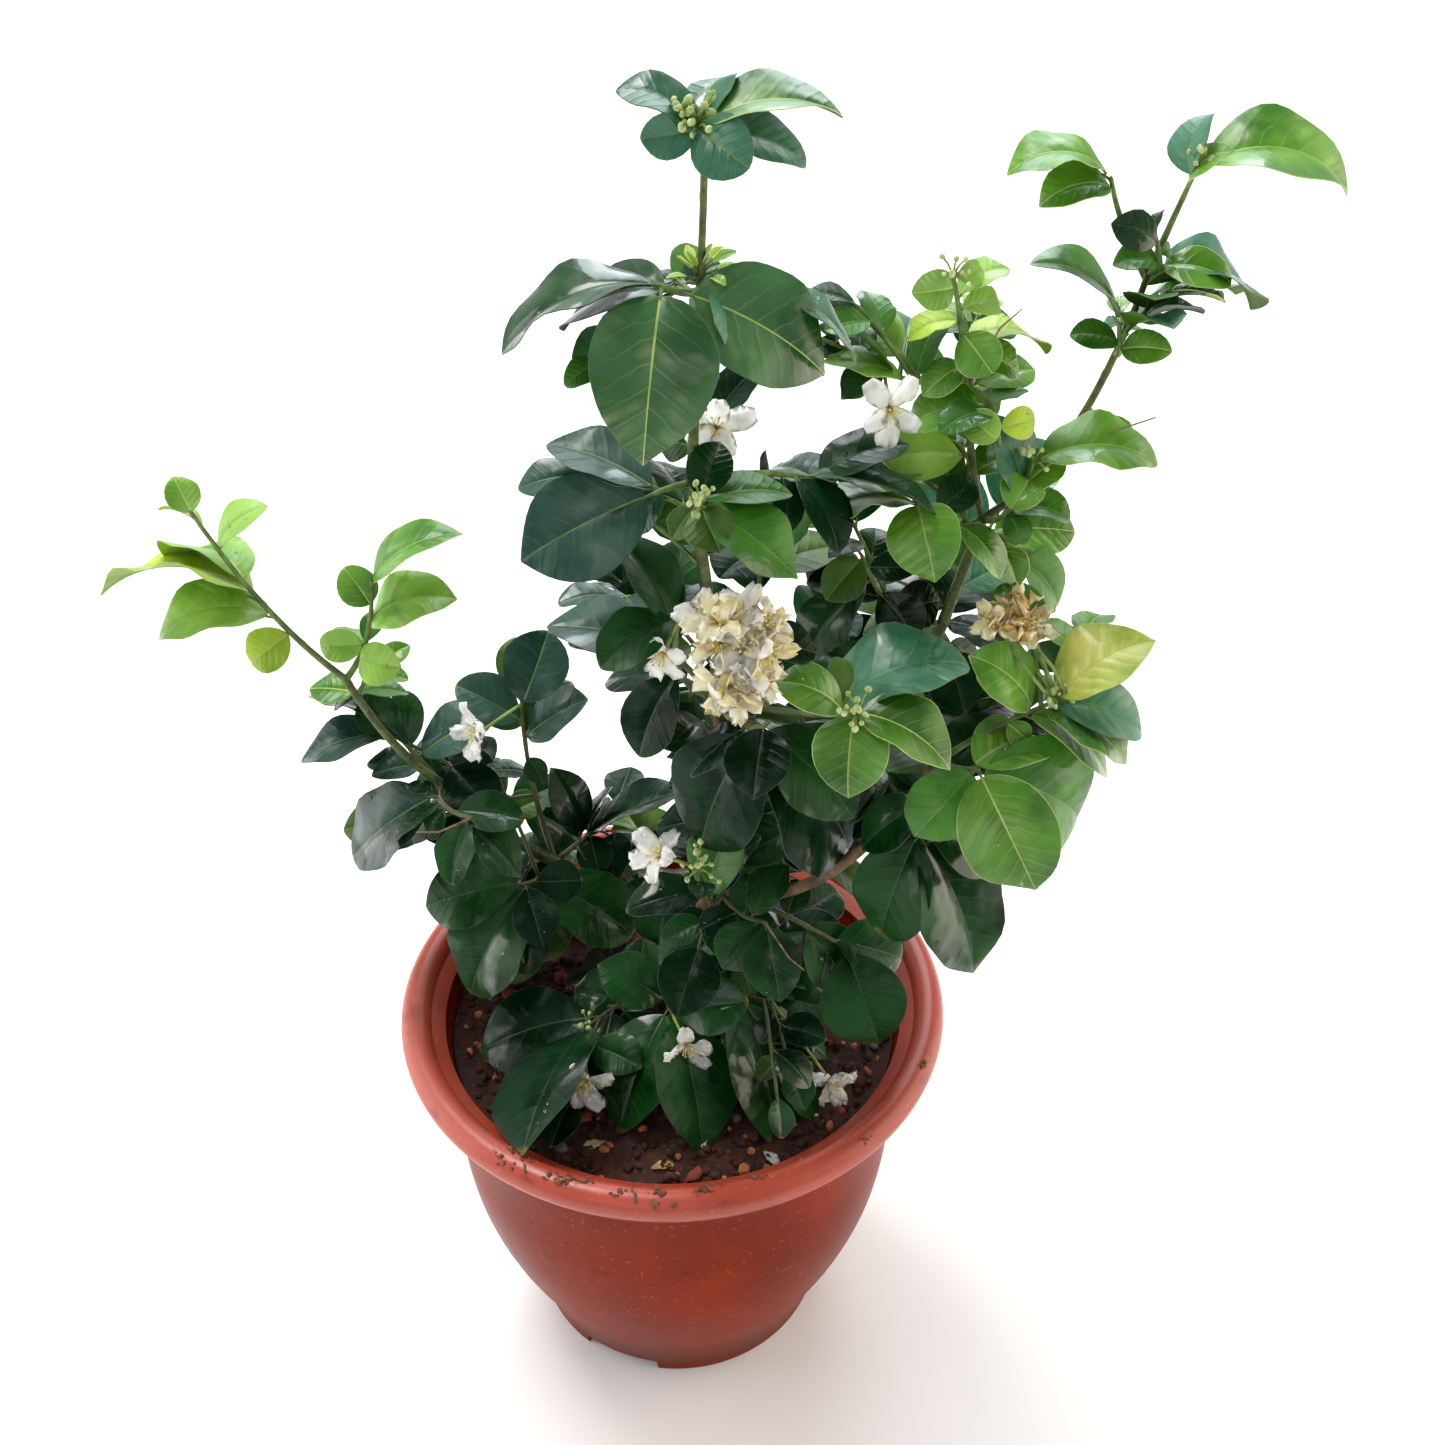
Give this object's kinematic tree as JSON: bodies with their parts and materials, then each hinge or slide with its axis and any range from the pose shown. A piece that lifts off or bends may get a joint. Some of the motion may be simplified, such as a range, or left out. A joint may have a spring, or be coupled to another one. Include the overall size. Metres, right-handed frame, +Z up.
{
  "type": "potted flowering shrub",
  "caption": "Evergreen orange jasmine shrub with glossy leaflets and white blossom on slim forked stems, standing in a round flared pot of damp soil.",
  "frame": {"origin": "middle of the pot's foot, on the surface that the pot stands on", "axes": "+Z up; -Y towards the side that the foliage leans to and that the picture was taken from; +X towards the tall right-hand shoot"},
  "size_m": [0.5074, 0.27, 0.6587],
  "materials": {
    "terracotta_plastic": "satin, slightly scuffed",
    "damp_soil": "rough and damp",
    "bark": "fine bark",
    "dark_leaves": "glossy",
    "blue_leaves": "glossy",
    "bright_leaves": "satin"
  },
  "bodies": {
    "root": {"back_arm": "bark", "back_left": "dark_leaves", "back_right": "dark_leaves", "blossom": "dark_leaves", "centre_back": "dark_leaves", "centre_dark": "dark_leaves", "centre_left": "dark_leaves", "crown": "blue_leaves", "east_left": "dark_leaves", "east_low": "bark", "east_right": "bright_leaves", "east_top": "bright_leaves", "front": "bright_leaves", "front_arm": "bark", "ground_back": "dark_leaves", "ground_front": "dark_leaves", "ground_left": "dark_leaves", "ground_right": "dark_leaves", "inner_left": "dark_leaves", "leader_foot": "bark", "leader_high": "bark", "leader_low": "bark", "leader_mid": "bark", "leader_top": "bark", "left_arm": "bark", "left_back": "dark_leaves", "left_foot": "bark", "left_fork": "bright_leaves", "left_over": "dark_leaves", "left_spray": "bright_leaves", "left_tip": "bark", "left_under": "dark_leaves", "low_centre": "dark_leaves", "low_front": "dark_leaves", "low_left": "dark_leaves", "low_right": "dark_leaves", "middle": "dark_leaves", "pot": "terracotta_plastic", "rear_left": "dark_leaves", "right_back": "dark_leaves", "right_foot": "bark", "right_front": "bright_leaves", "right_inner": "bright_leaves", "right_mid": "bark", "right_nose": "bright_leaves", "right_side": "bright_leaves", "right_under": "dark_leaves", "soil": "damp_soil", "tall_cluster": "bright_leaves", "tall_high": "bark", "tall_left": "bright_leaves", "tall_low": "bark", "tall_side": "bright_leaves", "tall_top": "bright_leaves", "trunk": "bark", "upper_back": "dark_leaves", "upper_front": "dark_leaves", "upper_left": "blue_leaves", "upper_right": "dark_leaves", "whorl": "blue_leaves"}
  },
  "joints": []
}
